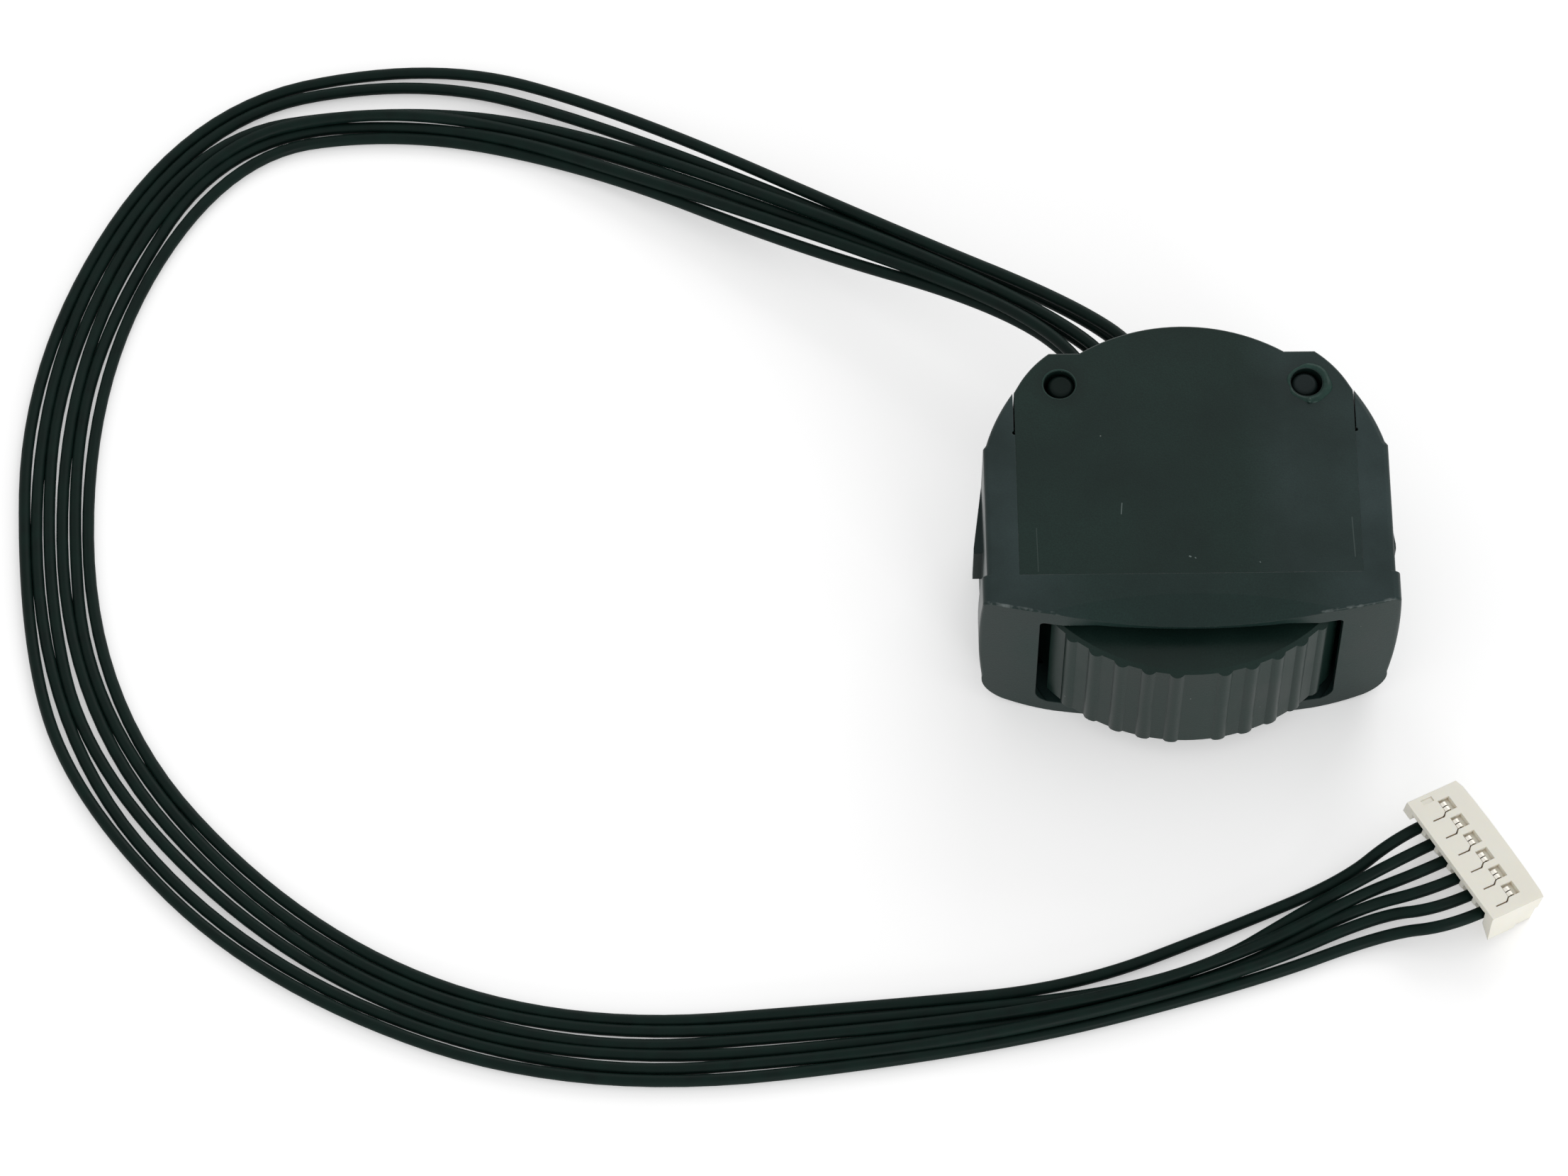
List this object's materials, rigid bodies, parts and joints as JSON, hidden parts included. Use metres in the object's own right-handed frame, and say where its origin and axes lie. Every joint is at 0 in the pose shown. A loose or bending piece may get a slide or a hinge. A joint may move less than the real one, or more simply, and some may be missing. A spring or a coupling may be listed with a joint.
{
  "type": "panel thumbwheel control",
  "caption": "Spring-return finger thumbwheel in a black snap-in panel housing, with ribbed wheel, scooped bezel, thin black wires in a loose loop and an off-white crimp connector.",
  "frame": {"origin": "on the wheel's axis, at the height of the flat underside", "axes": "+Z along the wheel's axis, +X to the right across the bezel, -Y out of the bezel towards the operator's thumb, +Y towards the wires"},
  "size_m": [0.1393, 0.1081, 0.019],
  "materials": {
    "bezel_plastic": "fine matt black moulding",
    "case_plastic": "fine matt black moulding",
    "wheel_plastic": "satin black moulding",
    "hub_plastic": "plain moulding",
    "steel": "ground pin",
    "bush_bronze": "oiled sintered bronze",
    "washer_plastic": "natural acetal",
    "magnet_plating": "nickel plated",
    "spring_steel": "drawn wire",
    "board": "green solder mask",
    "sensor_epoxy": "moulded epoxy",
    "potting_resin": "cured resin",
    "wire_insulation": "black insulation",
    "connector_nylon": "natural nylon",
    "contact_tin": "tin plated"
  },
  "bodies": {
    "housing": {"front_bezel": "bezel_plastic", "upper_case": "case_plastic", "lower_case": "case_plastic", "axle": "steel", "upper_thrust_washer": "washer_plastic", "lower_thrust_washer": "washer_plastic", "centring_spring": "spring_steel", "circuit_board": "board", "hall_sensor_upper": "sensor_epoxy", "hall_sensor_lower": "sensor_epoxy", "potting_seal": "potting_resin", "wire_1": "wire_insulation", "wire_2": "wire_insulation", "wire_3": "wire_insulation", "wire_4": "wire_insulation", "wire_5": "wire_insulation", "wire_6": "wire_insulation", "connector_housing": "connector_nylon", "crimp_contacts": "contact_tin"},
    "wheel": {"thumbwheel": "wheel_plastic", "wheel_hub": "hub_plastic", "upper_bush": "bush_bronze", "lower_bush": "bush_bronze", "magnet_left": "magnet_plating", "magnet_right": "magnet_plating"}
  },
  "joints": [
    {"name": "wheel_turn", "type": "hinge", "parent": "housing", "child": "wheel", "pos_m": [0, 0, 0.0095], "axis": [0, 0, 1], "range_deg": [-30, 30], "stiffness_Nm_per_rad": 0.02, "deforming": ["centring_spring"]}
  ]
}
